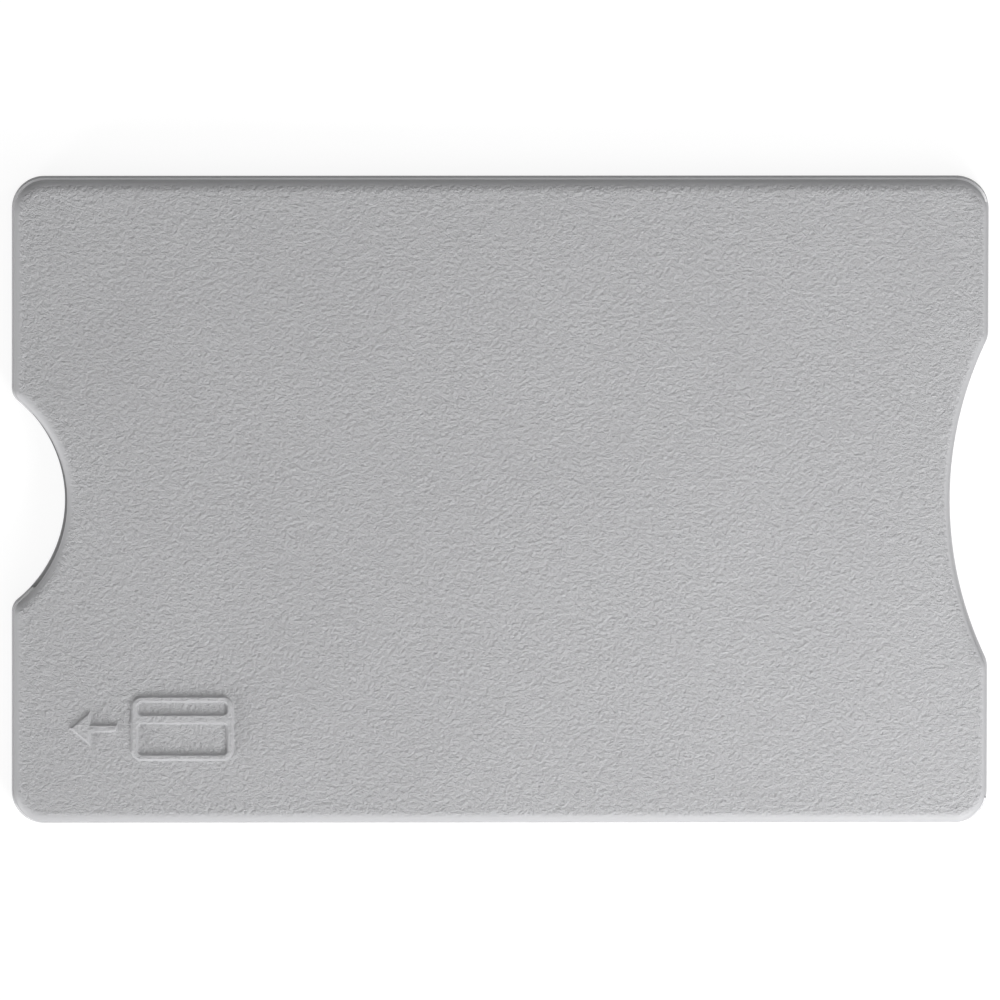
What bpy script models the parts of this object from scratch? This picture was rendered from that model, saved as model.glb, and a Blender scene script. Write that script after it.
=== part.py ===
"""Hard sleeve for one identity-size card: two welded plastic half shells, each with a metal shield sheet.

Blender 4.5, metres, +Z up. The sleeve lies on its back face with its mouth towards +X. The origin is
at the middle of the footprint, on the surface that the sleeve lies on.
"""

import math

import bmesh
import bpy

# The card that the sleeve holds, and the room round it
CARD_LENGTH = 0.0856
CARD_WIDTH = 0.05398
CARD_THICKNESS = 0.00076
CARD_END_CLEARANCE = 0.0002
CARD_SIDE_CLEARANCE = 0.00031
CARD_FACE_CLEARANCE = 0.00022

# Walls of the shells
SIDE_WALL = 0.0027
END_WALL = 0.0026
FACE_WALL = 0.00095
MOUTH_COVER = 0.0016
CORNER_RADIUS = 0.0030
EDGE_ROUND_WIDTH = 0.00105
EDGE_ROUND_HEIGHT = 0.0007

# Thumb notch in the closed end, through both faces
NOTCH_RADIUS = 0.0121
NOTCH_DEPTH = 0.0049
NOTCH_HORN_RADIUS = 0.0015
NOTCH_WALL_END = 0.0008

# Shallow arc across the mouth
MOUTH_RADIUS = 0.0344
MOUTH_DEPTH = 0.0035
MOUTH_END_RADIUS = 0.0024
LEAD_IN = 0.0002
FLARE_LENGTH = 0.0030
FLARE_WIDTH = 0.0004

# Where the two shells meet
PARTING_GAP = 0.0003
BACK_LEDGE = 0.0002
FRONT_CORNER_EXTRA = 0.00015
TONGUE_WIDTH = 0.0007
TONGUE_HEIGHT = 0.0006
TONGUE_CLEARANCE = 0.0003
TONGUE_ROOT = 0.0003
TONGUE_SETBACK = 0.0025

# Shield sheets and the pockets they lie in
SHIELD_THICKNESS = 0.00015
SHIELD_GAP = 0.0003
SHIELD_EDGE_CLEARANCE = 0.0003
POCKET_SHELF = 0.0008
POCKET_LIP = 0.0016
POCKET_CORNER_RADIUS = 0.0012

# Card slot's corners and the friction ribs on its side walls
SLOT_CORNER_RADIUS = 0.0025
RIB_LENGTH = 0.0080
RIB_HEIGHT = 0.0002
RIB_FROM_MOUTH = 0.0220
RIB_SPACING = 0.0420

# Raised pictogram on the front face: an arrow into the sleeve, and a card
PICTOGRAM_FROM_END = 0.0052
PICTOGRAM_FROM_SIDE = 0.0060
PICTOGRAM_HEIGHT = 0.0003
PICTOGRAM_ROOT = 0.0003
ARROW_LENGTH = 0.0046
ARROW_HEAD_LENGTH = 0.0021
ARROW_HEAD_WIDTH = 0.0036
ARROW_SHAFT_WIDTH = 0.0009
ARROW_TO_CARD = 0.0011
CARD_SIGN_LENGTH = 0.0096
CARD_SIGN_WIDTH = 0.0062
CARD_SIGN_STROKE = 0.0008
CARD_SIGN_RADIUS = 0.0011
CARD_SIGN_STRIPE = 0.0011
CARD_SIGN_STRIPE_DROP = 0.0009

# Segments of each round stretch
CORNER_STEPS = 6
SMALL_ARC_STEPS = 4
NOTCH_STEPS = 22
MOUTH_STEPS = 18
EDGE_STEPS = 4
RIB_STEPS = 4
LEAD_IN_STEPS = 17
LEAD_IN_END_STEPS = 3
OVERSHOOT = 0.0010
CUT_OVERLAP = 0.0001

# Sizes and heights that follow from the values above
LENGTH = END_WALL + CARD_END_CLEARANCE + CARD_LENGTH + MOUTH_COVER
WIDTH = CARD_WIDTH + 2 * (CARD_SIDE_CLEARANCE + SIDE_WALL)
SLOT_FLOOR = FACE_WALL + SHIELD_GAP + SHIELD_THICKNESS
SLOT_CEILING = SLOT_FLOOR + CARD_THICKNESS + 2 * CARD_FACE_CLEARANCE
THICKNESS = SLOT_CEILING + SLOT_FLOOR
BACK_RIM_TOP = (THICKNESS - PARTING_GAP) / 2
FRONT_RIM_BOTTOM = (THICKNESS + PARTING_GAP) / 2
TONGUE_TOP = BACK_RIM_TOP + TONGUE_HEIGHT
CLOSED_END = -LENGTH / 2
MOUTH_END = LENGTH / 2
HALF_WIDTH = WIDTH / 2
SLOT_END = CLOSED_END + END_WALL
SLOT_HALF_WIDTH = HALF_WIDTH - SIDE_WALL
NOTCH_CENTRE = CLOSED_END + NOTCH_DEPTH - NOTCH_RADIUS
MOUTH_CENTRE = MOUTH_END - MOUTH_DEPTH + MOUTH_RADIUS
RIM_LINE = (min(SIDE_WALL, END_WALL) + BACK_LEDGE) / 2
TIGHTEST_CORNER = min(CORNER_RADIUS, NOTCH_HORN_RADIUS, MOUTH_END_RADIUS)
ROUND_WIDTH = min(EDGE_ROUND_WIDTH, 0.9 * (TIGHTEST_CORNER - BACK_LEDGE))
ROUND_HEIGHT = min(EDGE_ROUND_HEIGHT, 0.9 * BACK_RIM_TOP)

SILVER_PLASTIC = {"colour": (0.42, 0.42, 0.43), "roughness": 0.45, "metallic": 0.0}
BARE_ALUMINIUM = {"colour": (0.80, 0.81, 0.82), "roughness": 0.30, "metallic": 1.0}


def clear_scene():
    for thing in list(bpy.data.objects):
        bpy.data.objects.remove(thing, do_unlink=True)


def arc(centre_x, centre_y, radius, start, end, steps):
    """Points along an arc, both ends included, with its angles in degrees."""
    turns = [math.radians(start + (end - start) * i / steps) for i in range(steps + 1)]
    return [(centre_x + radius * math.cos(t), centre_y + radius * math.sin(t)) for t in turns]


def bite(edge, centre, radius, end_radius, inwards):
    """The half height of a round bite out of a straight edge at its rounded ends, and its half angle."""
    reach = (edge + inwards * end_radius - centre) * inwards
    half_height = math.sqrt((radius + end_radius) ** 2 - reach**2)
    return half_height, math.degrees(math.atan2(half_height, reach))


def plate_outline(left, right, half_width, corner, notch_radius, horn, mouth_radius, mouth_end):
    """Anticlockwise outline of a plate with the thumb notch on the left and the mouth's arc on the right."""
    mouth_y, mouth_turn = bite(right, MOUTH_CENTRE, mouth_radius, mouth_end, -1)
    notch_y, notch_turn = bite(left, NOTCH_CENTRE, notch_radius, horn, 1)
    mouth_x = right - mouth_end
    horn_x = left + horn
    return (
        arc(right - corner, -half_width + corner, corner, -90, 0, CORNER_STEPS)
        + arc(mouth_x, -mouth_y, mouth_end, 0, mouth_turn, SMALL_ARC_STEPS)
        + arc(MOUTH_CENTRE, 0, mouth_radius, 180 + mouth_turn, 180 - mouth_turn, MOUTH_STEPS)[1:]
        + arc(mouth_x, mouth_y, mouth_end, -mouth_turn, 0, SMALL_ARC_STEPS)[1:]
        + arc(right - corner, half_width - corner, corner, 0, 90, CORNER_STEPS)
        + arc(left + corner, half_width - corner, corner, 90, 180, CORNER_STEPS)
        + arc(horn_x, notch_y, horn, 180, 180 + notch_turn, SMALL_ARC_STEPS)
        + arc(NOTCH_CENTRE, 0, notch_radius, notch_turn, -notch_turn, NOTCH_STEPS)[1:]
        + arc(horn_x, -notch_y, horn, 180 - notch_turn, 180, SMALL_ARC_STEPS)[1:]
        + arc(left + corner, -half_width + corner, corner, 180, 270, CORNER_STEPS)
    )


def case_outline(inset, corner_extra=0.0):
    """The sleeve's outer outline, moved inwards by inset, with its corner radii larger by corner_extra."""
    return plate_outline(
        CLOSED_END + inset,
        MOUTH_END - inset,
        HALF_WIDTH - inset,
        CORNER_RADIUS + corner_extra - inset,
        NOTCH_RADIUS + inset,
        NOTCH_HORN_RADIUS - inset,
        MOUTH_RADIUS + inset,
        MOUTH_END_RADIUS - inset,
    )


def pocket_outline(inset):
    """The shield pocket's outline, moved inwards by inset."""
    corner = max(POCKET_CORNER_RADIUS - inset, CUT_OVERLAP)
    return plate_outline(
        SLOT_END + POCKET_SHELF + inset,
        MOUTH_END - POCKET_LIP - inset,
        SLOT_HALF_WIDTH - POCKET_SHELF - inset,
        corner,
        NOTCH_RADIUS + POCKET_LIP + inset,
        corner,
        MOUTH_RADIUS + POCKET_LIP + inset,
        corner,
    )


def ribs_along_wall():
    """The slot's +Y side wall from the mouth to the closed end, bulging inwards at each friction rib."""
    radius = (RIB_LENGTH**2 / 4 + RIB_HEIGHT**2) / (2 * RIB_HEIGHT)
    turn = math.degrees(math.asin(RIB_LENGTH / 2 / radius))
    centre_y = SLOT_HALF_WIDTH + radius - RIB_HEIGHT
    points = []
    for number in range(2):
        rib_x = MOUTH_END - RIB_FROM_MOUTH - number * RIB_SPACING
        points += arc(rib_x, centre_y, radius, 270 + turn, 270 - turn, RIB_STEPS)
    return points


def slot_outline():
    """The card slot seen from above: flared at the mouth, ribbed at the sides, open into the thumb notch."""
    out_x = MOUTH_END + OVERSHOOT
    flare_y = SLOT_HALF_WIDTH + FLARE_WIDTH * (FLARE_LENGTH + OVERSHOOT) / FLARE_LENGTH
    blunt_x = SLOT_END - NOTCH_WALL_END
    gap_y = math.sqrt(NOTCH_RADIUS**2 - (blunt_x - NOTCH_CENTRE) ** 2)
    corner_y = SLOT_HALF_WIDTH - SLOT_CORNER_RADIUS
    upper = (
        [(out_x, flare_y), (MOUTH_END - FLARE_LENGTH, SLOT_HALF_WIDTH)]
        + ribs_along_wall()
        + arc(SLOT_END + SLOT_CORNER_RADIUS, corner_y, SLOT_CORNER_RADIUS, 90, 180, CORNER_STEPS)
        + [(SLOT_END, gap_y), (CLOSED_END - OVERSHOOT, gap_y)]
    )
    return upper + mirrored(upper)


def mouth_region(inset):
    """Everything past the mouth's edge, with the edge moved into the sleeve by inset.

    Its arcs have other counts of steps than the sleeve's outline, so that their corners don't meet in a cut.
    """
    edge = MOUTH_END - inset
    radius = MOUTH_RADIUS + inset
    end_radius = MOUTH_END_RADIUS - inset
    half_height = SLOT_HALF_WIDTH + FLARE_WIDTH
    mouth_y, turn = bite(edge, MOUTH_CENTRE, radius, end_radius, -1)
    return (
        [(MOUTH_END + OVERSHOOT, -half_height), (MOUTH_END + OVERSHOOT, half_height), (edge, half_height)]
        + arc(edge - end_radius, mouth_y, end_radius, 0, -turn, LEAD_IN_END_STEPS)
        + arc(MOUTH_CENTRE, 0, radius, 180 - turn, 180 + turn, LEAD_IN_STEPS)[1:]
        + arc(edge - end_radius, -mouth_y, end_radius, turn, 0, LEAD_IN_END_STEPS)[1:]
        + [(edge, -half_height)]
    )


def tongue_outline(half_width):
    """The tongue's outline on the +Y side: from the mouth, round the corner, to just short of the notch."""
    line_x = CLOSED_END + RIM_LINE
    line_y = HALF_WIDTH - RIM_LINE
    corner = max(CORNER_RADIUS - RIM_LINE, half_width + CUT_OVERLAP)
    notch_y, _ = bite(CLOSED_END, NOTCH_CENTRE, NOTCH_RADIUS, NOTCH_HORN_RADIUS, 1)
    near_mouth = MOUTH_END - TONGUE_SETBACK
    near_notch = notch_y + TONGUE_SETBACK
    corner_x = line_x + corner
    corner_y = line_y - corner
    return (
        arc(near_mouth, line_y, half_width, -90, 90, SMALL_ARC_STEPS)
        + arc(corner_x, corner_y, corner + half_width, 90, 180, CORNER_STEPS)
        + arc(line_x, near_notch, half_width, 180, 360, SMALL_ARC_STEPS)
        + arc(corner_x, corner_y, corner - half_width, 180, 90, CORNER_STEPS)
    )


def mirrored(points):
    """The same run of points on the other side of the sleeve's centre line, still anticlockwise."""
    return [(x, -y) for x, y in reversed(points)]


def rounded_box(left, right, bottom, top, radius):
    return (
        arc(right - radius, bottom + radius, radius, -90, 0, SMALL_ARC_STEPS)
        + arc(right - radius, top - radius, radius, 0, 90, SMALL_ARC_STEPS)
        + arc(left + radius, top - radius, radius, 90, 180, SMALL_ARC_STEPS)
        + arc(left + radius, bottom + radius, radius, 180, 270, SMALL_ARC_STEPS)
    )


def add_loft(bm, layers):
    """Closes a stack of matching outlines, given from the bottom up as (height, points)."""
    rings = [[bm.verts.new((x, y, z)) for x, y in points] for z, points in layers]
    bm.faces.new(list(reversed(rings[0])))
    bm.faces.new(rings[-1])
    for lower, upper in zip(rings, rings[1:]):
        for i in range(len(lower)):
            j = (i + 1) % len(lower)
            bm.faces.new((lower[i], lower[j], upper[j], upper[i]))


def make_object(name, *stacks):
    """One mesh object from one or more stacks of outlines."""
    bm = bmesh.new()
    for layers in stacks:
        add_loft(bm, layers)
    mesh = bpy.data.meshes.new(name)
    bm.to_mesh(mesh)
    bm.free()
    thing = bpy.data.objects.new(name, mesh)
    bpy.context.scene.collection.objects.link(thing)
    return thing


def make_helper(name, *stacks):
    """An object that only shapes others."""
    helper = make_object(name, *stacks)
    helper.hide_render = True
    helper.display_type = "WIRE"
    return helper


def combine(target, helper, operation):
    step = target.modifiers.new(f"{operation.lower()} {helper.name}", "BOOLEAN")
    step.operation = operation
    step.solver = "EXACT"
    step.object = helper


def give_material(thing, name, look):
    material = bpy.data.materials.new(name)
    material.use_nodes = True
    shader = material.node_tree.nodes["Principled BSDF"]
    shader.inputs["Base Color"].default_value = (*look["colour"], 1.0)
    shader.inputs["Roughness"].default_value = look["roughness"]
    shader.inputs["Metallic"].default_value = look["metallic"]
    thing.data.materials.append(material)


def smooth_round_edges(thing):
    thing.data.shade_smooth()
    thing.data.set_sharp_from_angle(angle=math.radians(40))


def rounded_layers(base_inset, outer_face, rim, corner_extra=0.0):
    """A half shell's outlines from its flat outer face, round its edge, to the rim where the shells meet.

    The round is a quarter ellipse, wider than it is high.
    """
    inwards = 1 if rim > outer_face else -1
    layers = []
    for i in range(EDGE_STEPS + 1):
        turn = math.radians(90 * i / EDGE_STEPS)
        height = outer_face + inwards * ROUND_HEIGHT * (1 - math.cos(turn))
        inset = base_inset + ROUND_WIDTH * (1 - math.sin(turn))
        layers.append((height, case_outline(inset, corner_extra)))
    layers.append((rim, case_outline(base_inset, corner_extra)))
    return layers if inwards > 0 else layers[::-1]


def make_slot_cutter():
    outline = slot_outline()
    return make_helper("slot_cutter", [(SLOT_FLOOR, outline), (SLOT_CEILING, outline)])


def make_pocket_cutter():
    outline = pocket_outline(0)
    return make_helper("pocket_cutter", [(FACE_WALL, outline), (THICKNESS - FACE_WALL, outline)])


def make_lead_in_cutter():
    """The slope that guides a card over the edges of the mouth, measured from each shell's own edge."""
    slope = LEAD_IN + CUT_OVERLAP
    deepest = 0.9 * MOUTH_END_RADIUS
    layers = [
        (SLOT_FLOOR - slope, mouth_region(-CUT_OVERLAP)),
        (SLOT_FLOOR + CUT_OVERLAP, mouth_region(min(slope, deepest))),
        (SLOT_CEILING - CUT_OVERLAP, mouth_region(min(BACK_LEDGE + slope, deepest))),
        (SLOT_CEILING + slope, mouth_region(BACK_LEDGE - CUT_OVERLAP)),
    ]
    return make_helper("lead_in_cutter", layers)


def make_tongues():
    outline = tongue_outline(TONGUE_WIDTH / 2)
    heights = (BACK_RIM_TOP - TONGUE_ROOT, TONGUE_TOP)
    stacks = [[(z, side) for z in heights] for side in (outline, mirrored(outline))]
    return make_helper("tongues", *stacks)


def make_groove_cutter():
    outline = tongue_outline(TONGUE_WIDTH / 2 + TONGUE_CLEARANCE)
    heights = (FRONT_RIM_BOTTOM - OVERSHOOT, TONGUE_TOP + TONGUE_CLEARANCE)
    stacks = [[(z, side) for z in heights] for side in (outline, mirrored(outline))]
    return make_helper("groove_cutter", *stacks)


def arrow_outline(tip_x, centre_y):
    """An arrow that points to the closed end."""
    neck = tip_x + ARROW_HEAD_LENGTH
    end = tip_x + ARROW_LENGTH
    head = ARROW_HEAD_WIDTH / 2
    shaft = ARROW_SHAFT_WIDTH / 2
    upper = [(end, shaft), (neck, shaft), (neck, head), (tip_x, 0)]
    lower = [(x, -y) for x, y in reversed(upper[:-1])]
    return [(x, centre_y + y) for x, y in upper + lower]


def make_pictogram():
    """The raised arrow and card sign. The card's stripe is what its two windows leave between them."""
    tip = CLOSED_END + PICTOGRAM_FROM_END
    bottom = -HALF_WIDTH + PICTOGRAM_FROM_SIDE
    top = bottom + CARD_SIGN_WIDTH
    left = tip + ARROW_LENGTH + ARROW_TO_CARD
    right = left + CARD_SIGN_LENGTH
    stripe_top = top - CARD_SIGN_STROKE - CARD_SIGN_STRIPE_DROP
    stroke = CARD_SIGN_STROKE
    raised = (THICKNESS - PICTOGRAM_ROOT, THICKNESS + PICTOGRAM_HEIGHT)
    cleared = (THICKNESS - PICTOGRAM_ROOT - OVERSHOOT, THICKNESS + PICTOGRAM_HEIGHT + OVERSHOOT)
    arrow = arrow_outline(tip, (bottom + top) / 2)
    card = rounded_box(left, right, bottom, top, CARD_SIGN_RADIUS)
    card_sign = make_helper("pictogram_card", [(z, card) for z in raised])
    corner = max(CARD_SIGN_RADIUS - stroke, CUT_OVERLAP)
    windows = {
        "upper": (stripe_top, top - stroke),
        "lower": (bottom + stroke, stripe_top - CARD_SIGN_STRIPE),
    }
    for place, (low, high) in windows.items():
        window = rounded_box(left + stroke, right - stroke, low, high, corner)
        helper = make_helper(f"pictogram_{place}_window", [(z, window) for z in cleared])
        combine(card_sign, helper, "DIFFERENCE")
    return [card_sign, make_helper("pictogram_arrow", [(z, arrow) for z in raised])]


def make_back_shell(slot, pocket, lead_in):
    shell = make_object("back_shell", rounded_layers(0, 0, BACK_RIM_TOP))
    smooth_round_edges(shell)
    for cutter in (slot, pocket, lead_in):
        combine(shell, cutter, "DIFFERENCE")
    combine(shell, make_tongues(), "UNION")
    give_material(shell, "silver grey plastic, back", SILVER_PLASTIC)


def make_front_shell(slot, pocket, lead_in):
    layers = rounded_layers(BACK_LEDGE, THICKNESS, FRONT_RIM_BOTTOM, FRONT_CORNER_EXTRA)
    shell = make_object("front_shell", layers)
    smooth_round_edges(shell)
    for cutter in (slot, pocket, lead_in, make_groove_cutter()):
        combine(shell, cutter, "DIFFERENCE")
    for sign in make_pictogram():
        combine(shell, sign, "UNION")
    give_material(shell, "silver grey plastic, front", SILVER_PLASTIC)


def make_shield(name, bottom):
    """A thin sheet, clear of its pocket all round, flush with the slot's floor or ceiling."""
    outline = pocket_outline(SHIELD_EDGE_CLEARANCE)
    shield = make_object(name, [(bottom, outline), (bottom + SHIELD_THICKNESS, outline)])
    give_material(shield, f"bare aluminium, {name}", BARE_ALUMINIUM)


def main():
    clear_scene()
    cutters = make_slot_cutter(), make_pocket_cutter(), make_lead_in_cutter()
    make_back_shell(*cutters)
    make_front_shell(*cutters)
    make_shield("back_shield", SLOT_FLOOR - SHIELD_THICKNESS)
    make_shield("front_shield", SLOT_CEILING)


main()
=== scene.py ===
"""Looks of the hard card case: moulded silver grey shells with a fine grain, and rolled metal shields.

Everything is in metres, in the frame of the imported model. The case lies on its back face with its mouth
towards +X and its front face up.
"""

import math

import bmesh
import bpy
from mathutils import Matrix, Vector


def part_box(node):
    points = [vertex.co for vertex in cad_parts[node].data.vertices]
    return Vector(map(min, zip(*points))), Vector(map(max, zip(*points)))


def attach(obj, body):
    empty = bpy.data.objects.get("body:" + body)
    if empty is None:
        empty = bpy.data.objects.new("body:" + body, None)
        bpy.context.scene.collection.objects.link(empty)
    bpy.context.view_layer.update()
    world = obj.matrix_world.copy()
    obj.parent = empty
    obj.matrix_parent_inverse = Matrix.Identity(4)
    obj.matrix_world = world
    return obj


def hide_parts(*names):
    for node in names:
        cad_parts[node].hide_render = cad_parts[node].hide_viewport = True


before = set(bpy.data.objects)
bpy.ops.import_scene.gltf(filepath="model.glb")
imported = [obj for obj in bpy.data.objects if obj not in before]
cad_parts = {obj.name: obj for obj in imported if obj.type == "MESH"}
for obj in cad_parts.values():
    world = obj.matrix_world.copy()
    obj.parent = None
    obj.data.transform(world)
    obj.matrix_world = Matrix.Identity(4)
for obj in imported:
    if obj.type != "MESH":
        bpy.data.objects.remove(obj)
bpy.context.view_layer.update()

BACK_LOW, BACK_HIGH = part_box("back_shell")
FRONT_LOW, FRONT_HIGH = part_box("front_shell")
SHIELD_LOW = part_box("back_shield")[0]
UPPER_SHIELD_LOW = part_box("front_shield")[0]

# Outline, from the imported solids
CLOSED_END = BACK_LOW.x
MOUTH_END = BACK_HIGH.x
HALF_WIDTH = BACK_HIGH.y
BACK_LEDGE = FRONT_LOW.x - BACK_LOW.x

# Sizes that the boxes of the solids don't give
SIGN_HEIGHT = 0.0003
SHIELD_THICKNESS = 0.00015
FACE_WALL = 0.00095
SIDE_WALL = 0.0027
END_WALL = 0.0026
CORNER_RADIUS = 0.0030
EDGE_ROUND_WIDTH = 0.00105
EDGE_ROUND_HEIGHT = 0.0007
NOTCH_RADIUS = 0.0121
NOTCH_DEPTH = 0.0049
NOTCH_HORN_RADIUS = 0.0015
NOTCH_WALL_END = 0.0008
MOUTH_RADIUS = 0.0344
MOUTH_DEPTH = 0.0035
MOUTH_END_RADIUS = 0.0024
LEAD_IN = 0.0002
FLARE_LENGTH = 0.0030
FLARE_WIDTH = 0.0004
POCKET_SHELF = 0.0008
POCKET_LIP = 0.0016
POCKET_CORNER_RADIUS = 0.0012
SLOT_CORNER_RADIUS = 0.0025
RIBS_PER_WALL = 2
RIB_LENGTH = 0.0080
RIB_HEIGHT = 0.0002
RIB_FROM_MOUTH = 0.0220
RIB_SPACING = 0.0420

# The weld line: the shells meet in a hairline here, with the edges beside it broken
WELD_GAP = 0.00006
RIM_BREAK = 0.00005
FRONT_CORNER_EXTRA = 0.00015

# Raised sign on the front face
SIGN_FROM_END = 0.0052
SIGN_FROM_SIDE = 0.0060
SIGN_ROOT = 0.0003
SIGN_SLOPE = 0.00027
ARROW_LENGTH = 0.0046
ARROW_HEAD_LENGTH = 0.0021
ARROW_HEAD_WIDTH = 0.0036
ARROW_SHAFT_WIDTH = 0.0009
ARROW_TO_CARD = 0.0011
CARD_SIGN_LENGTH = 0.0096
CARD_SIGN_WIDTH = 0.0062
CARD_SIGN_STROKE = 0.0008
CARD_SIGN_RADIUS = 0.0011
CARD_SIGN_STRIPE = 0.0011
CARD_SIGN_STRIPE_DROP = 0.0009

# Segments of each round stretch
CORNER_STEPS = 20
SMALL_ARC_STEPS = 12
NOTCH_STEPS = 72
MOUTH_STEPS = 72
EDGE_STEPS = 12
RIB_STEPS = 12
SIGN_STEPS = 8
LEAD_IN_STEPS = 71
LEAD_IN_END_STEPS = 11

# How far cutters reach past what they cut, the length up to which an edge counts as a sliver, and the
# angle in degrees from which an edge is shaded sharp
OVERSHOOT = 0.0010
CUT_OVERLAP = 0.0001
SHORTEST_EDGE = 0.000004
SHARP_ANGLE = 35

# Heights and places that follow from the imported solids
FRONT_FACE = FRONT_HIGH.z - SIGN_HEIGHT
MIDDLE = FRONT_FACE / 2
SLOT_FLOOR = SHIELD_LOW.z + SHIELD_THICKNESS
SLOT_CEILING = UPPER_SHIELD_LOW.z
SLOT_END = CLOSED_END + END_WALL
SLOT_HALF_WIDTH = HALF_WIDTH - SIDE_WALL
NOTCH_CENTRE = CLOSED_END + NOTCH_DEPTH - NOTCH_RADIUS
MOUTH_CENTRE = MOUTH_END - MOUTH_DEPTH + MOUTH_RADIUS
ARROW_TIP = CLOSED_END + SIGN_FROM_END
CARD_LEFT = ARROW_TIP + ARROW_LENGTH + ARROW_TO_CARD
CARD_RIGHT = CARD_LEFT + CARD_SIGN_LENGTH
CARD_BOTTOM = -HALF_WIDTH + SIGN_FROM_SIDE
CARD_TOP = CARD_BOTTOM + CARD_SIGN_WIDTH
STRIPE_TOP = CARD_TOP - CARD_SIGN_STROKE - CARD_SIGN_STRIPE_DROP
STRIPE_BOTTOM = STRIPE_TOP - CARD_SIGN_STRIPE
WINDOW_RADIUS = CARD_SIGN_RADIUS - CARD_SIGN_STROKE

# The card sign's windows on either side of its stripe: where their lower and upper sides lie in Y
WINDOWS = {
    "sign_upper_window": (STRIPE_TOP, CARD_TOP - CARD_SIGN_STROKE),
    "sign_lower_window": (CARD_BOTTOM + CARD_SIGN_STROKE, STRIPE_BOTTOM),
}

# Finish of the shells. The grain fades in between two distances from the case's outline, and the
# grained area as a whole lies a little towards the mouth and the far side.
NOISE_MEAN = 0.5
SHELL_COLOUR = (0.385, 0.385, 0.395)
TINT_SPREAD = 0.02
CLOUDS_PER_METRE = 70
CLOUD_OCTAVES = 2.0
CLOUD_LEVELS = (0.3, 0.7)
# Painted shade: where the coarse grain is low, in its hollows, the colour is made darker
PIT_SHADE_LEVELS = (0.45, 0.25)
PAINTED_PIT_SHADE = 0.04
# Painted light: a pale band along the weld lightens the ledge beside the hairline, which the front shell's
# wall shades
WELD_PAINTED_LIGHT_COLOUR = (0.80, 0.80, 0.81)
WELD_PAINTED_LIGHT_BAND = 0.00005
GRAIN_PER_METRE = 2900
GRAIN_DEPTH = 0.00032
GRAIN_OCTAVES = 3.0
GRAIN_OCTAVE_GAIN = 0.60
FINE_GRAIN_PER_METRE = 8500
FINE_GRAIN_DEPTH = 0.00009
FINE_GRAIN_OCTAVES = 2.0
GRAIN_STARTS = 0.0002
GRAIN_FULL = 0.0010
GRAIN_SHIFT_ALONG = 0.00015
GRAIN_SHIFT_ACROSS = 0.0004
GRAIN_DEEPEST = 0.0003
FACE_ROUGHNESS = 0.50
EDGE_ROUGHNESS = 0.55
WALL_ROUGHNESS = 0.62
PATCHES_PER_METRE = 260
PATCH_OCTAVES = 3.0
PATCH_ROUGHNESS = 0.08

# Finish of the raised sign. From the face up to its foot the slope's finish fades in, and from its
# shoulder up to its top the finish of the top.
SIGN_FOOT = FRONT_FACE + SIGN_HEIGHT / 4
SIGN_SHOULDER = FRONT_HIGH.z - SIGN_HEIGHT / 8
SIGN_TOP_GRAIN = 0.7
SIGN_SLOPE_GRAIN = 0.15
SIGN_SLOPE_ROUGHNESS = 0.27

# Finish of the shields, between the darkest and the lightest of their rolling lines
SHIELD_COLOUR = (0.80, 0.81, 0.82)
ROLLING_TINTS = (0.94, 1.03)
ROLLING_LEVELS = (0.3, 0.7)
ROLLING_ROUGHNESS = (0.24, 0.40)
ROLLING_LINES_PER_METRE = 9000
ROLLING_OCTAVES = 3.0
ROLLING_STRETCH = 0.03
ROLLING_DEPTH = 0.000002

# Camera, at the photograph's viewing angle, with its angles in degrees
VIEW_TOWARDS_BACK = 7.5
VIEW_TOWARDS_MOUTH = -1.0
VIEW_ROLL = 0.1
VIEW_DISTANCE = 3.4
VIEW_SPAN = 0.0922
VIEW_TARGET = (0.0, 0.00003, 0.0020)
VIEW_DEPTH_FACTOR = 10
SENSOR_MM = 36.0

# Studio: a floor that reads as white, a sky that is brightest overhead, and soft lamps round the case
FLOOR_HALF = 1.5
FLOOR_DROP = 0.00002
FLOOR_ALBEDO = 0.20
FLOOR_CAMERA_LIFT = 0.85
SKY_OVERHEAD = 1.11
SKY_FALL_OFF = 3
LAMPS = {
    "front_lamp": {"place": (0.16, -0.27, 0.165), "size": 0.14, "watts": 1.02},
    "left_lamp": {"place": (-0.61, -0.44, 0.10), "size": 0.20, "watts": 4.35},
    "upper_lamp": {"place": (0.10, -0.06, 0.13), "size": 0.10, "watts": 0.085},
    "far_lamp": {"place": (0.20, 0.16, 0.20), "size": 0.12, "watts": 0.17},
}


def arc(centre_x, centre_y, radius, start, end, steps):
    """Points along an arc, both ends included, with its angles in degrees."""
    turns = [math.radians(start + (end - start) * i / steps) for i in range(steps + 1)]
    return [(centre_x + radius * math.cos(turn), centre_y + radius * math.sin(turn)) for turn in turns]


def bite(edge, centre, radius, end_radius, inwards):
    """The half height of a round bite out of a straight edge at its rounded ends, and its half angle."""
    reach = (edge + inwards * end_radius - centre) * inwards
    half_height = math.sqrt((radius + end_radius) ** 2 - reach**2)
    return half_height, math.degrees(math.atan2(half_height, reach))


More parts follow.
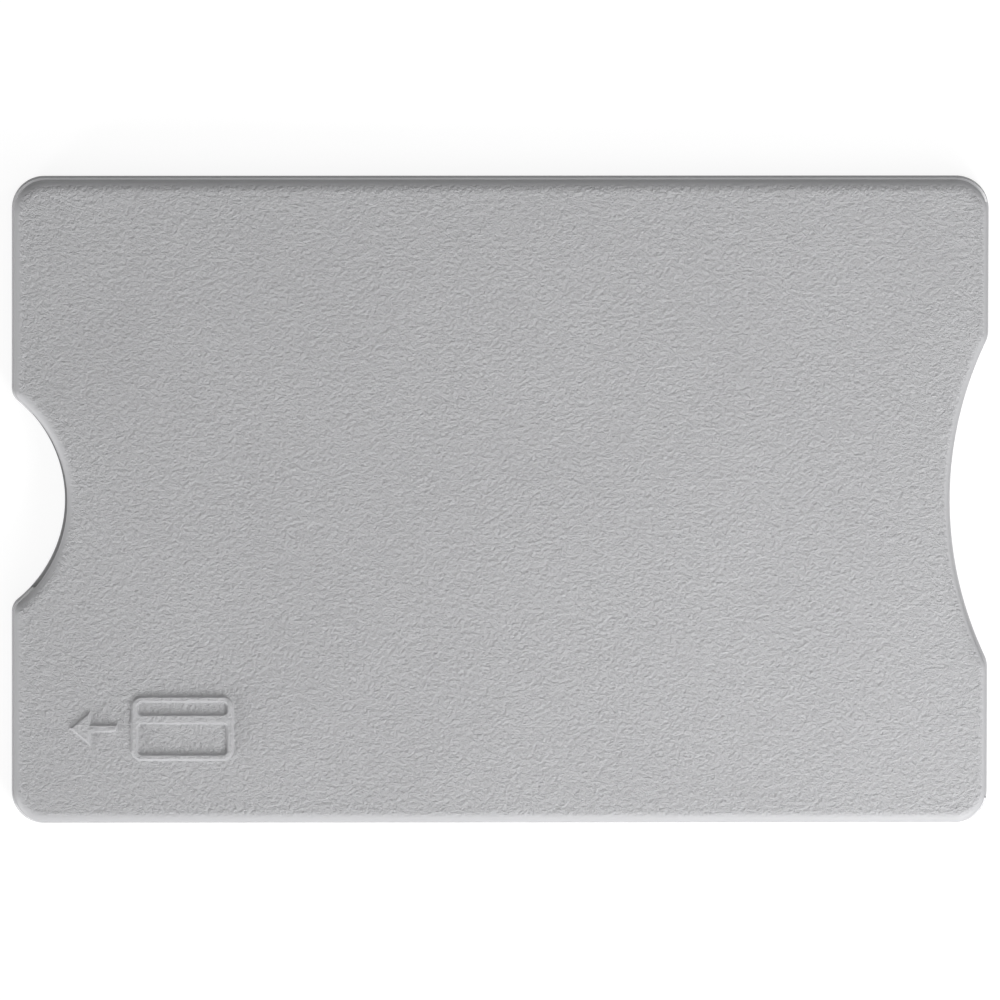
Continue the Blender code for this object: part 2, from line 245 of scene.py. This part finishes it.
def plate_outline(left, right, half_width, corner, notch_radius, horn, mouth_radius, mouth_end):
    """Anticlockwise outline of a plate with the thumb notch on the left and the mouth's arc on the right."""
    mouth_y, mouth_turn = bite(right, MOUTH_CENTRE, mouth_radius, mouth_end, -1)
    notch_y, notch_turn = bite(left, NOTCH_CENTRE, notch_radius, horn, 1)
    mouth_x = right - mouth_end
    horn_x = left + horn
    return (
        arc(right - corner, -half_width + corner, corner, -90, 0, CORNER_STEPS)
        + arc(mouth_x, -mouth_y, mouth_end, 0, mouth_turn, SMALL_ARC_STEPS)
        + arc(MOUTH_CENTRE, 0, mouth_radius, 180 + mouth_turn, 180 - mouth_turn, MOUTH_STEPS)[1:]
        + arc(mouth_x, mouth_y, mouth_end, -mouth_turn, 0, SMALL_ARC_STEPS)[1:]
        + arc(right - corner, half_width - corner, corner, 0, 90, CORNER_STEPS)
        + arc(left + corner, half_width - corner, corner, 90, 180, CORNER_STEPS)
        + arc(horn_x, notch_y, horn, 180, 180 + notch_turn, SMALL_ARC_STEPS)
        + arc(NOTCH_CENTRE, 0, notch_radius, notch_turn, -notch_turn, NOTCH_STEPS)[1:]
        + arc(horn_x, -notch_y, horn, 180 - notch_turn, 180, SMALL_ARC_STEPS)[1:]
        + arc(left + corner, -half_width + corner, corner, 180, 270, CORNER_STEPS)
    )


def case_outline(inset, corner_extra=0.0):
    """The case's outer outline, moved inwards by inset, with its corner radii larger by corner_extra."""
    return plate_outline(
        CLOSED_END + inset,
        MOUTH_END - inset,
        HALF_WIDTH - inset,
        CORNER_RADIUS + corner_extra - inset,
        NOTCH_RADIUS + inset,
        NOTCH_HORN_RADIUS - inset,
        MOUTH_RADIUS + inset,
        MOUTH_END_RADIUS - inset,
    )


def pocket_outline():
    """The shield pocket's outline."""
    return plate_outline(
        SLOT_END + POCKET_SHELF,
        MOUTH_END - POCKET_LIP,
        SLOT_HALF_WIDTH - POCKET_SHELF,
        POCKET_CORNER_RADIUS,
        NOTCH_RADIUS + POCKET_LIP,
        POCKET_CORNER_RADIUS,
        MOUTH_RADIUS + POCKET_LIP,
        POCKET_CORNER_RADIUS,
    )


def mirrored(points):
    """The same run of points on the other side of the case's centre line, still anticlockwise."""
    return [(x, -y) for x, y in reversed(points)]


def ribs_along_wall():
    """The slot's +Y side wall from the mouth to the closed end, bulging inwards at each friction rib."""
    radius = (RIB_LENGTH**2 / 4 + RIB_HEIGHT**2) / (2 * RIB_HEIGHT)
    turn = math.degrees(math.asin(RIB_LENGTH / 2 / radius))
    centre_y = SLOT_HALF_WIDTH + radius - RIB_HEIGHT
    points = []
    for number in range(RIBS_PER_WALL):
        rib_x = MOUTH_END - RIB_FROM_MOUTH - number * RIB_SPACING
        points += arc(rib_x, centre_y, radius, 270 + turn, 270 - turn, RIB_STEPS)
    return points


def slot_outline():
    """The card slot seen from above: flared at the mouth, ribbed at the sides, open into the thumb notch."""
    out_x = MOUTH_END + OVERSHOOT
    flare_y = SLOT_HALF_WIDTH + FLARE_WIDTH * (FLARE_LENGTH + OVERSHOOT) / FLARE_LENGTH
    blunt_x = SLOT_END - NOTCH_WALL_END
    gap_y = math.sqrt(NOTCH_RADIUS**2 - (blunt_x - NOTCH_CENTRE) ** 2)
    corner_y = SLOT_HALF_WIDTH - SLOT_CORNER_RADIUS
    upper = (
        [(out_x, flare_y), (MOUTH_END - FLARE_LENGTH, SLOT_HALF_WIDTH)]
        + ribs_along_wall()
        + arc(SLOT_END + SLOT_CORNER_RADIUS, corner_y, SLOT_CORNER_RADIUS, 90, 180, CORNER_STEPS)
        + [(SLOT_END, gap_y), (CLOSED_END - OVERSHOOT, gap_y)]
    )
    return upper + mirrored(upper)


def mouth_region(inset):
    """Everything past the mouth's edge, with the edge moved into the case by inset.

    Its arcs have other counts of steps than the case's outline, so that their corners don't meet in a cut.
    """
    edge = MOUTH_END - inset
    outer = MOUTH_END + OVERSHOOT
    radius = MOUTH_RADIUS + inset
    end_radius = MOUTH_END_RADIUS - inset
    half_height = SLOT_HALF_WIDTH + FLARE_WIDTH
    mouth_y, turn = bite(edge, MOUTH_CENTRE, radius, end_radius, -1)
    return (
        [(outer, -half_height), (outer, half_height), (edge, half_height)]
        + arc(edge - end_radius, mouth_y, end_radius, 0, -turn, LEAD_IN_END_STEPS)
        + arc(MOUTH_CENTRE, 0, radius, 180 - turn, 180 + turn, LEAD_IN_STEPS)[1:]
        + arc(edge - end_radius, -mouth_y, end_radius, turn, 0, LEAD_IN_END_STEPS)[1:]
        + [(edge, -half_height)]
    )


def rounded_box(left, right, bottom, top, radius):
    """Anticlockwise outline of a box with round corners."""
    return (
        arc(right - radius, bottom + radius, radius, -90, 0, SMALL_ARC_STEPS)
        + arc(right - radius, top - radius, radius, 0, 90, SMALL_ARC_STEPS)
        + arc(left + radius, top - radius, radius, 90, 180, SMALL_ARC_STEPS)
        + arc(left + radius, bottom + radius, radius, 180, 270, SMALL_ARC_STEPS)
    )


def add_to_scene(name, data):
    """A new object in the scene from a mesh, a light or a camera."""
    thing = bpy.data.objects.new(name, data)
    bpy.context.scene.collection.objects.link(thing)
    return thing


def add_mesh(name, bm):
    """A new mesh object from a finished bmesh, which is freed."""
    mesh = bpy.data.meshes.new(name)
    bm.to_mesh(mesh)
    bm.free()
    return add_to_scene(name, mesh)


def make_object(name, layers):
    """A closed solid from a stack of matching outlines, given from the bottom up as (height, points)."""
    bm = bmesh.new()
    rings = [[bm.verts.new((x, y, z)) for x, y in points] for z, points in layers]
    bm.faces.new(list(reversed(rings[0])))
    bm.faces.new(rings[-1])
    for lower, upper in zip(rings, rings[1:]):
        for i in range(len(lower)):
            j = (i + 1) % len(lower)
            bm.faces.new((lower[i], lower[j], upper[j], upper[i]))
    return add_mesh(name, bm)


def combine(target, helper, operation):
    """Cuts a helper out of a target, or joins it on."""
    step = target.modifiers.new(f"{operation.lower()} {helper.name}", "BOOLEAN")
    step.operation = operation
    step.solver = "EXACT"
    step.object = helper


def apply_modifiers(thing):
    """Bakes the modifiers into the mesh, without the slivers that the cuts leave."""
    depsgraph = bpy.context.evaluated_depsgraph_get()
    finished = bpy.data.meshes.new_from_object(thing.evaluated_get(depsgraph))
    bm = bmesh.new()
    bm.from_mesh(finished)
    bmesh.ops.dissolve_degenerate(bm, dist=SHORTEST_EDGE, edges=bm.edges)
    bm.to_mesh(finished)
    bm.free()
    thing.modifiers.clear()
    thing.data = finished


def remove(things):
    """Deletes helpers that have done their work."""
    for thing in things:
        bpy.data.objects.remove(thing, do_unlink=True)


def shade(thing):
    """Smooth shading that leaves the flat faces flat and the cut edges sharp."""
    thing.data.shade_smooth()
    thing.data.set_sharp_from_angle(angle=math.radians(SHARP_ANGLE))
    weighted = thing.modifiers.new("flat faces stay flat", "WEIGHTED_NORMAL")
    weighted.keep_sharp = True


def rounded_layers(base_inset, outer_face, rim, corner_extra=0.0):
    """A half shell's outlines from the bottom up: its flat outer face, its round edge and its broken rim.

    The outer face is the lowest of the back shell and the highest of the front shell.
    """
    inwards = 1 if rim > outer_face else -1
    layers = []
    for i in range(EDGE_STEPS + 1):
        turn = math.radians(90 * i / EDGE_STEPS)
        height = outer_face + inwards * EDGE_ROUND_HEIGHT * (1 - math.cos(turn))
        inset = base_inset + EDGE_ROUND_WIDTH * (1 - math.sin(turn))
        layers.append((height, case_outline(inset, corner_extra)))
    layers.append((rim - inwards * RIM_BREAK, case_outline(base_inset, corner_extra)))
    layers.append((rim, case_outline(base_inset + RIM_BREAK, corner_extra)))
    return layers if inwards > 0 else layers[::-1]


def make_cutters():
    """The card slot, the two shield pockets and the slope round the mouth, as solids to cut with."""
    slot = slot_outline()
    pocket = pocket_outline()
    slope = LEAD_IN + CUT_OVERLAP
    lead_in = [
        (SLOT_FLOOR - slope, mouth_region(-CUT_OVERLAP)),
        (SLOT_FLOOR + CUT_OVERLAP, mouth_region(slope)),
        (SLOT_CEILING - CUT_OVERLAP, mouth_region(BACK_LEDGE + slope)),
        (SLOT_CEILING + slope, mouth_region(BACK_LEDGE - CUT_OVERLAP)),
    ]
    return [
        make_object("slot_cutter", [(SLOT_FLOOR, slot), (SLOT_CEILING, slot)]),
        make_object("pocket_cutter", [(FACE_WALL, pocket), (FRONT_FACE - FACE_WALL, pocket)]),
        make_object("lead_in_cutter", lead_in),
    ]


def sign_layers(outline_at):
    """A raised stroke's outlines, from below the face up its soft slope.

    outline_at gives the outline for a distance that the slope has run, seen from above.
    """
    layers = [(FRONT_FACE - SIGN_ROOT, outline_at(0))]
    for i in range(SIGN_STEPS + 1):
        share = i / SIGN_STEPS
        eased = share * share * (3 - 2 * share)
        layers.append((FRONT_FACE + SIGN_HEIGHT * eased, outline_at(SIGN_SLOPE * share)))
    return layers


def arrow_outline(inset):
    """The arrow that points the card's way into the case."""
    centre_y = (CARD_BOTTOM + CARD_TOP) / 2
    head = ARROW_HEAD_WIDTH / 2
    tip = inset * math.hypot(ARROW_HEAD_LENGTH, head) / head
    neck = ARROW_HEAD_LENGTH - inset
    barb = (neck - tip) * head / ARROW_HEAD_LENGTH
    shaft = ARROW_SHAFT_WIDTH / 2 - inset
    upper = [(ARROW_LENGTH - inset, shaft), (neck, shaft), (neck, barb)]
    return [(ARROW_TIP + x, centre_y + y) for x, y in [*upper, (tip, 0), *mirrored(upper)]]


def card_outline(inset):
    """The outer outline of the card sign."""
    left = CARD_LEFT + inset
    right = CARD_RIGHT - inset
    return rounded_box(left, right, CARD_BOTTOM + inset, CARD_TOP - inset, CARD_SIGN_RADIUS - inset)


def make_window(name, bottom, top):
    """A cutter for one window, from well below the face up the stroke's soft slope and out at the top."""

    def outline_at(growth):
        left = CARD_LEFT + CARD_SIGN_STROKE - growth
        right = CARD_RIGHT - CARD_SIGN_STROKE + growth
        return rounded_box(left, right, bottom - growth, top + growth, WINDOW_RADIUS + growth)

    layers = [(FRONT_FACE - SIGN_ROOT - OVERSHOOT, outline_at(0))]
    layers += sign_layers(outline_at)[1:]
    layers.append((FRONT_FACE + SIGN_HEIGHT + OVERSHOOT, outline_at(SIGN_SLOPE)))
    return make_object(name, layers)


def add_sign(front):
    """Joins the raised arrow and card onto the front shell. Returns the helpers."""
    windows = [make_window(name, *sides) for name, sides in WINDOWS.items()]
    card = make_object("sign_card", sign_layers(card_outline))
    for window in windows:
        combine(card, window, "DIFFERENCE")
    arrow = make_object("sign_arrow", sign_layers(arrow_outline))
    for sign in (card, arrow):
        combine(front, sign, "UNION")
    return [*windows, card, arrow]


def make_shells(cutters):
    """Both half shells, cut out for the card and the shields, with a hairline between their rims."""
    back_layers = rounded_layers(0, 0, MIDDLE - WELD_GAP / 2)
    front_layers = rounded_layers(BACK_LEDGE, FRONT_FACE, MIDDLE + WELD_GAP / 2, FRONT_CORNER_EXTRA)
    back = make_object("back_shell_moulded", back_layers)
    front = make_object("front_shell_moulded", front_layers)
    for shell in (back, front):
        for cutter in cutters:
            combine(shell, cutter, "DIFFERENCE")
    helpers = add_sign(front)
    for shell in (back, front):
        apply_modifiers(shell)
        shade(shell)
    remove(helpers)
    return back, front


class Nodes:
    """A short way to add and link the nodes of one material or world."""

    def __init__(self, owner):
        owner.use_nodes = True
        self.tree = owner.node_tree
        self.tree.nodes.clear()

    def set(self, socket, value):
        """Links an output to a socket, or gives the socket a plain value."""
        if isinstance(value, bpy.types.NodeSocket):
            self.tree.links.new(value, socket)
        else:
            socket.default_value = value

    def add(self, kind, inputs=None, **settings):
        node = self.tree.nodes.new(kind)
        for name, value in settings.items():
            setattr(node, name, value)
        for key, value in (inputs or {}).items():
            self.set(node.inputs[key], value)
        return node

    def maths(self, operation, first, second=0.0):
        return self.add("ShaderNodeMath", {0: first, 1: second}, operation=operation).outputs[0]

    def sum(self, first, second):
        return self.maths("ADD", first, second)

    def difference(self, first, second):
        return self.maths("SUBTRACT", first, second)

    def product(self, first, second):
        return self.maths("MULTIPLY", first, second)

    def length(self, first, second):
        """The length of the slanted side over two sides at a right angle."""
        return self.maths("SQRT", self.sum(self.product(first, first), self.product(second, second)))

    def past(self, value, limit):
        """How far a value lies beyond plus or minus a limit, or 0."""
        return self.maths("MAXIMUM", self.difference(self.maths("ABSOLUTE", value), limit), 0.0)

    def ramp(self, value, low, high, to_low=0.0, to_high=1.0):
        inputs = {"Value": value, "From Min": low, "From Max": high, "To Min": to_low, "To Max": to_high}
        return self.add("ShaderNodeMapRange", inputs).outputs["Result"]

    def soft_ramp(self, value, low, high):
        inputs = {"Value": value, "From Min": low, "From Max": high}
        return self.add("ShaderNodeMapRange", inputs, interpolation_type="SMOOTHSTEP").outputs["Result"]

    def noise(self, place, per_metre, octaves, octave_gain=0.5):
        """Noise from 0 to 1, in which each octave has octave_gain times the strength of the one before."""
        inputs = {"Vector": place, "Scale": per_metre, "Detail": octaves, "Roughness": octave_gain}
        return self.add("ShaderNodeTexNoise", inputs).outputs["Fac"]

    def mix(self, share, first, second):
        inputs = {0: share, 2: first, 3: second}
        return self.add("ShaderNodeMix", inputs, data_type="FLOAT").outputs[0]

    def mix_colour(self, share, first, second):
        inputs = {0: share, 6: first, 7: second}
        return self.add("ShaderNodeMix", inputs, data_type="RGBA").outputs[2]

    def seen_directly(self):
        """1 for rays of the camera and for mirrored or refracted ones, 0 for light on a matte surface."""
        rays = self.add("ShaderNodeLightPath").outputs
        bounced = self.maths("MAXIMUM", rays["Is Glossy Ray"], rays["Is Transmission Ray"])
        return self.maths("MAXIMUM", rays["Is Camera Ray"], bounced)

    def finish(self, colour, roughness, metallic, height, height_unit):
        """Ends a material in one shader, with bump from a height whose unit is given in metres."""
        bump = self.add("ShaderNodeBump", {"Strength": 1.0, "Distance": height_unit, "Height": height})
        inputs = {
            "Base Color": colour,
            "Roughness": roughness,
            "Metallic": metallic,
            "Normal": bump.outputs["Normal"],
        }
        shader = self.add("ShaderNodeBsdfPrincipled", inputs)
        self.add("ShaderNodeOutputMaterial", {"Surface": shader.outputs["BSDF"]})


def shaded(colour, factor=1.0):
    """A colour made darker or lighter by a factor, with full alpha."""
    return (*[part * factor for part in colour], 1.0)


def inside_outline(nodes, along, across):
    """How far a place lies inside the case's outline, seen from above. True only close to the outline."""
    past_end = nodes.past(along, MOUTH_END - CORNER_RADIUS)
    past_side = nodes.past(across, HALF_WIDTH - CORNER_RADIUS)
    from_box = nodes.difference(CORNER_RADIUS, nodes.length(past_end, past_side))
    notch = nodes.length(nodes.difference(along, NOTCH_CENTRE), across)
    mouth = nodes.length(nodes.difference(along, MOUTH_CENTRE), across)
    from_notch = nodes.difference(notch, NOTCH_RADIUS)
    from_mouth = nodes.difference(mouth, MOUTH_RADIUS)
    return nodes.maths("MINIMUM", from_box, nodes.maths("MINIMUM", from_notch, from_mouth))


def grained_area(nodes, along, across, from_middle):
    """1 on the grained part of both flat faces, fading to 0 round its border, and 0 inside the case."""
    outside = nodes.ramp(from_middle, MIDDLE - GRAIN_DEEPEST, MIDDLE - GRAIN_DEEPEST / 2)
    shifted_along = nodes.difference(along, GRAIN_SHIFT_ALONG)
    shifted_across = nodes.difference(across, GRAIN_SHIFT_ACROSS)
    inside = inside_outline(nodes, shifted_along, shifted_across)
    return nodes.product(outside, nodes.soft_ramp(inside, GRAIN_STARTS, GRAIN_FULL))


def by_sign(nodes, height, on_face, on_slope, on_top):
    """A value that changes from the flat face to the raised sign's slopes, and again to its top."""
    slope = nodes.soft_ramp(height, FRONT_FACE, SIGN_FOOT)
    top = nodes.soft_ramp(height, SIGN_SHOULDER, FRONT_HIGH.z)
    return nodes.mix(top, nodes.mix(slope, on_face, on_slope), on_top)


def moulded_relief(nodes, place, coarse, mask):
    """The grain's height in metres, from its coarse noise and a fine one, as far as mask lets it through."""
    fine = nodes.noise(place, FINE_GRAIN_PER_METRE, FINE_GRAIN_OCTAVES)
    coarse_relief = nodes.product(nodes.difference(coarse, NOISE_MEAN), GRAIN_DEPTH)
    fine_relief = nodes.product(nodes.difference(fine, NOISE_MEAN), FINE_GRAIN_DEPTH)
    return nodes.product(nodes.sum(coarse_relief, fine_relief), mask)


def moulded_colour(nodes, place, coarse, grained, from_middle):
    """Faintly clouded grey, with painted shade in the hollows of the grain and painted light in a pale band
    along the weld.
    """
    clouds = nodes.ramp(nodes.noise(place, CLOUDS_PER_METRE, CLOUD_OCTAVES), *CLOUD_LEVELS)
    low, high = (shaded(SHELL_COLOUR, 1 + side * TINT_SPREAD) for side in (-1, 1))
    clouded = nodes.mix_colour(clouds, low, high)
    # Painted shade: darker colour in the hollows of the grain
    painted_pit_shade = nodes.product(nodes.ramp(coarse, *PIT_SHADE_LEVELS), grained)
    pit_shaded = nodes.mix_colour(painted_pit_shade, clouded, shaded(SHELL_COLOUR, 1 - PAINTED_PIT_SHADE))
    # Painted light: the pale band along the weld stands in for light on the shaded ledge
    rim = nodes.ramp(from_middle, WELD_PAINTED_LIGHT_BAND, WELD_PAINTED_LIGHT_BAND / 2)
    return nodes.mix_colour(rim, pit_shaded, shaded(WELD_PAINTED_LIGHT_COLOUR))


def moulded_roughness(nodes, place, height, grained, from_middle):
    """Glossier up the rounded edge than on the walls, glossiest on the sign's slopes, uneven in patches."""
    round_bottom = MIDDLE - EDGE_ROUND_HEIGHT
    round_middle = MIDDLE - EDGE_ROUND_HEIGHT / 2
    edge = nodes.ramp(from_middle, round_bottom, round_middle, WALL_ROUGHNESS, EDGE_ROUGHNESS)
    face = by_sign(nodes, height, FACE_ROUGHNESS, SIGN_SLOPE_ROUGHNESS, FACE_ROUGHNESS)
    patches = nodes.difference(nodes.noise(place, PATCHES_PER_METRE, PATCH_OCTAVES), NOISE_MEAN)
    return nodes.sum(nodes.mix(grained, edge, face), nodes.product(patches, PATCH_ROUGHNESS))


def moulded_plastic():
    """Silver grey plastic: grained on both flat faces, smooth on the rounded edge and the sign's slopes."""
    material = bpy.data.materials.new("silver_grey_plastic")
    nodes = Nodes(material)
    place = nodes.add("ShaderNodeTexCoord").outputs["Object"]
    along, across, height = nodes.add("ShaderNodeSeparateXYZ", {"Vector": place}).outputs
    from_middle = nodes.maths("ABSOLUTE", nodes.difference(height, MIDDLE))
    grained = grained_area(nodes, along, across, from_middle)
    mask = nodes.product(grained, by_sign(nodes, height, 1.0, SIGN_SLOPE_GRAIN, SIGN_TOP_GRAIN))
    coarse = nodes.noise(place, GRAIN_PER_METRE, GRAIN_OCTAVES, GRAIN_OCTAVE_GAIN)
    colour = moulded_colour(nodes, place, coarse, grained, from_middle)
    roughness = moulded_roughness(nodes, place, height, grained, from_middle)
    relief = moulded_relief(nodes, place, coarse, mask)
    nodes.finish(colour, roughness, 0.0, relief, 1.0)
    return material


def rolled_aluminium():
    """Bare sheet with fine rolling lines along the case."""
    material = bpy.data.materials.new("rolled_aluminium")
    nodes = Nodes(material)
    place = nodes.add("ShaderNodeTexCoord").outputs["Object"]
    stretched = nodes.add("ShaderNodeMapping", {"Vector": place, "Scale": (ROLLING_STRETCH, 1.0, 1.0)})
    lines = nodes.noise(stretched.outputs["Vector"], ROLLING_LINES_PER_METRE, ROLLING_OCTAVES)
    colour = nodes.mix_colour(lines, *(shaded(SHIELD_COLOUR, tint) for tint in ROLLING_TINTS))
    roughness = nodes.ramp(lines, *ROLLING_LEVELS, *ROLLING_ROUGHNESS)
    nodes.finish(colour, roughness, 1.0, lines, ROLLING_DEPTH)
    return material


def give_material(piece, material):
    """Makes one material the only one of a piece."""
    piece.data.materials.clear()
    piece.data.materials.append(material)


def dress_shells():
    """Puts the moulded shells in the place of the plain solids."""
    cutters = make_cutters()
    back, front = make_shells(cutters)
    remove(cutters)
    plastic = moulded_plastic()
    for shell, node in ((back, "back_shell"), (front, "front_shell")):
        give_material(shell, plastic)
        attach(shell, "root")
        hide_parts(node)


def dress_shields():
    """The shields keep their solids and get their metal."""
    metal = rolled_aluminium()
    for name in ("back_shield", "front_shield"):
        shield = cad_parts[name]
        give_material(shield, metal)


def floor_material():
    """Dim and matte for the light, with a lift that only the camera and reflections see as white."""
    material = bpy.data.materials.new("white_floor")
    nodes = Nodes(material)
    albedo = (FLOOR_ALBEDO, FLOOR_ALBEDO, FLOOR_ALBEDO, 1.0)
    matte = nodes.add("ShaderNodeBsdfDiffuse", {"Color": albedo}).outputs["BSDF"]
    lift = nodes.product(nodes.seen_directly(), FLOOR_CAMERA_LIFT)
    glow = nodes.add("ShaderNodeEmission", {"Strength": lift}).outputs["Emission"]
    both = nodes.add("ShaderNodeAddShader", {0: matte, 1: glow}).outputs["Shader"]
    nodes.add("ShaderNodeOutputMaterial", {"Surface": both})
    return material


def add_floor():
    """A plain floor that reads as white and keeps the case's shadow."""
    bm = bmesh.new()
    corners = ((-1, -1), (1, -1), (1, 1), (-1, 1))
    bm.faces.new([bm.verts.new((x * FLOOR_HALF, y * FLOOR_HALF, -FLOOR_DROP)) for x, y in corners])
    floor = add_mesh("floor", bm)
    give_material(floor, floor_material())


def add_sky():
    """A soft light from overhead. The camera and reflections see plain white."""
    world = bpy.data.worlds.new("studio")
    bpy.context.scene.world = world
    nodes = Nodes(world)
    direction = nodes.add("ShaderNodeTexCoord").outputs["Generated"]
    upwards = nodes.add("ShaderNodeSeparateXYZ", {"Vector": direction}).outputs["Z"]
    fall_off = nodes.maths("POWER", nodes.maths("MAXIMUM", upwards, 0.0), SKY_FALL_OFF)
    strength = nodes.mix(nodes.seen_directly(), nodes.product(fall_off, SKY_OVERHEAD), 1.0)
    background = nodes.add("ShaderNodeBackground", {"Color": (1.0, 1.0, 1.0, 1.0), "Strength": strength})
    nodes.add("ShaderNodeOutputWorld", {"Surface": background.outputs["Background"]})


def add_lamp(name, place, size, watts):
    """A soft square lamp aimed at the case."""
    light = bpy.data.lights.new(name, "AREA")
    light.shape = "SQUARE"
    light.size = size
    light.energy = watts
    lamp = add_to_scene(name, light)
    lamp.location = place
    lamp.rotation_euler = (Vector(VIEW_TARGET) - Vector(place)).to_track_quat("-Z", "Y").to_euler()


def view_axes():
    """The camera's right, its up and the way back to it, leaning and rolled as in the photograph."""
    tilt = math.radians(VIEW_TOWARDS_BACK)
    lean = math.radians(VIEW_TOWARDS_MOUTH)
    roll = math.radians(VIEW_ROLL)
    away = Vector((math.sin(lean), math.sin(tilt) * math.cos(lean), math.cos(tilt) * math.cos(lean)))
    right = Vector((0, 1, 0)).cross(away).normalized()
    up = away.cross(right)
    turned_right = right * math.cos(roll) + up * math.sin(roll)
    turned_up = up * math.cos(roll) - right * math.sin(roll)
    return turned_right, turned_up, away


def add_camera():
    """A long lens that looks almost straight down, from a little towards the far side."""
    right, up, away = view_axes()
    lens = bpy.data.cameras.new("camera")
    lens.sensor_width = SENSOR_MM
    lens.lens = SENSOR_MM * VIEW_DISTANCE / VIEW_SPAN
    lens.clip_start = VIEW_DISTANCE / VIEW_DEPTH_FACTOR
    lens.clip_end = VIEW_DISTANCE * VIEW_DEPTH_FACTOR
    camera = add_to_scene("camera", lens)
    camera.location = Vector(VIEW_TARGET) + away * VIEW_DISTANCE
    camera.rotation_euler = Matrix((right, up, away)).transposed().to_euler()
    bpy.context.scene.camera = camera


dress_shells()
dress_shields()
add_floor()
add_sky()
for lamp_name, lamp_values in LAMPS.items():
    add_lamp(lamp_name, **lamp_values)
add_camera()
bpy.context.scene.view_settings.view_transform = "Standard"
